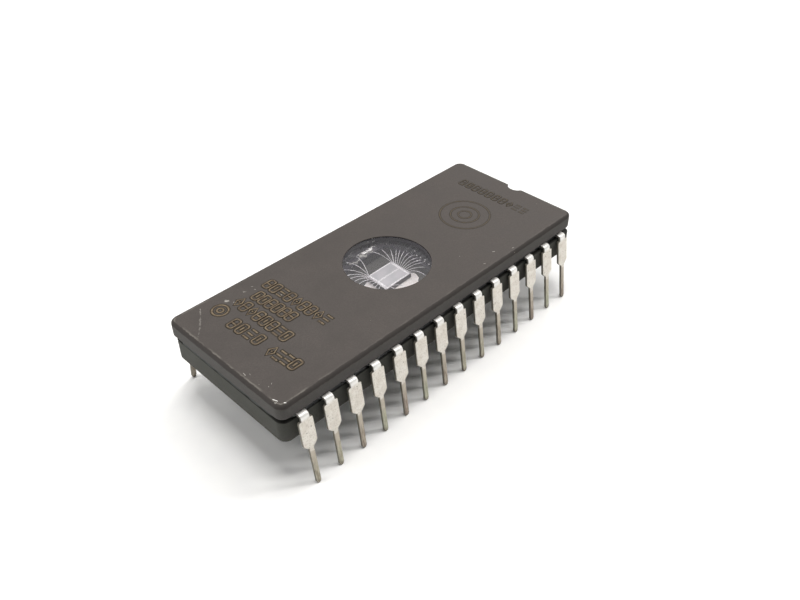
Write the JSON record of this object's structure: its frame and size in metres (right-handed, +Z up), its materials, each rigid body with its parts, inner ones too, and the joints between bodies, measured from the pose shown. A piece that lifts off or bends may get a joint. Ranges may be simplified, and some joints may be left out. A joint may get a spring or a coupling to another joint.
{
  "type": "windowed ceramic dual in-line memory chip",
  "caption": "Dark ceramic dual in-line chip package with a round glass window over the die, a notched end and two rows of splayed tinned leads.",
  "frame": {"origin": "on the plane that the lead points stand on, under the centre of the package", "axes": "+X along the package towards its notched end, +Y towards the row of leads 1 to 14, +Z up through the window"},
  "size_m": [0.0368, 0.0176, 0.0087],
  "materials": {
    "dark_ceramic": "matte dark warm grey alumina, finely pitted",
    "sealing_glass": "glossy near-black sealing glass",
    "window_glass": "clear polished glass, slightly crowned",
    "tinned_lead": "satin tin plate over an iron-nickel strip, tarnished towards the points",
    "silicon": "polished silicon with aluminium bond wires",
    "attach_metal": "dull gold die-attach metal"
  },
  "bodies": {
    "root": {"ceramic_base": "dark_ceramic", "ceramic_lid": "dark_ceramic", "die_attach": "attach_metal", "die_with_bond_wires": "silicon", "lead_01": "tinned_lead", "lead_02": "tinned_lead", "lead_03": "tinned_lead", "lead_04": "tinned_lead", "lead_05": "tinned_lead", "lead_06": "tinned_lead", "lead_07": "tinned_lead", "lead_08": "tinned_lead", "lead_09": "tinned_lead", "lead_10": "tinned_lead", "lead_11": "tinned_lead", "lead_12": "tinned_lead", "lead_13": "tinned_lead", "lead_14": "tinned_lead", "lead_15": "tinned_lead", "lead_16": "tinned_lead", "lead_17": "tinned_lead", "lead_18": "tinned_lead", "lead_19": "tinned_lead", "lead_20": "tinned_lead", "lead_21": "tinned_lead", "lead_22": "tinned_lead", "lead_23": "tinned_lead", "lead_24": "tinned_lead", "lead_25": "tinned_lead", "lead_26": "tinned_lead", "lead_27": "tinned_lead", "lead_28": "tinned_lead", "seal_glass": "sealing_glass", "window_glass": "window_glass"}
  },
  "joints": []
}
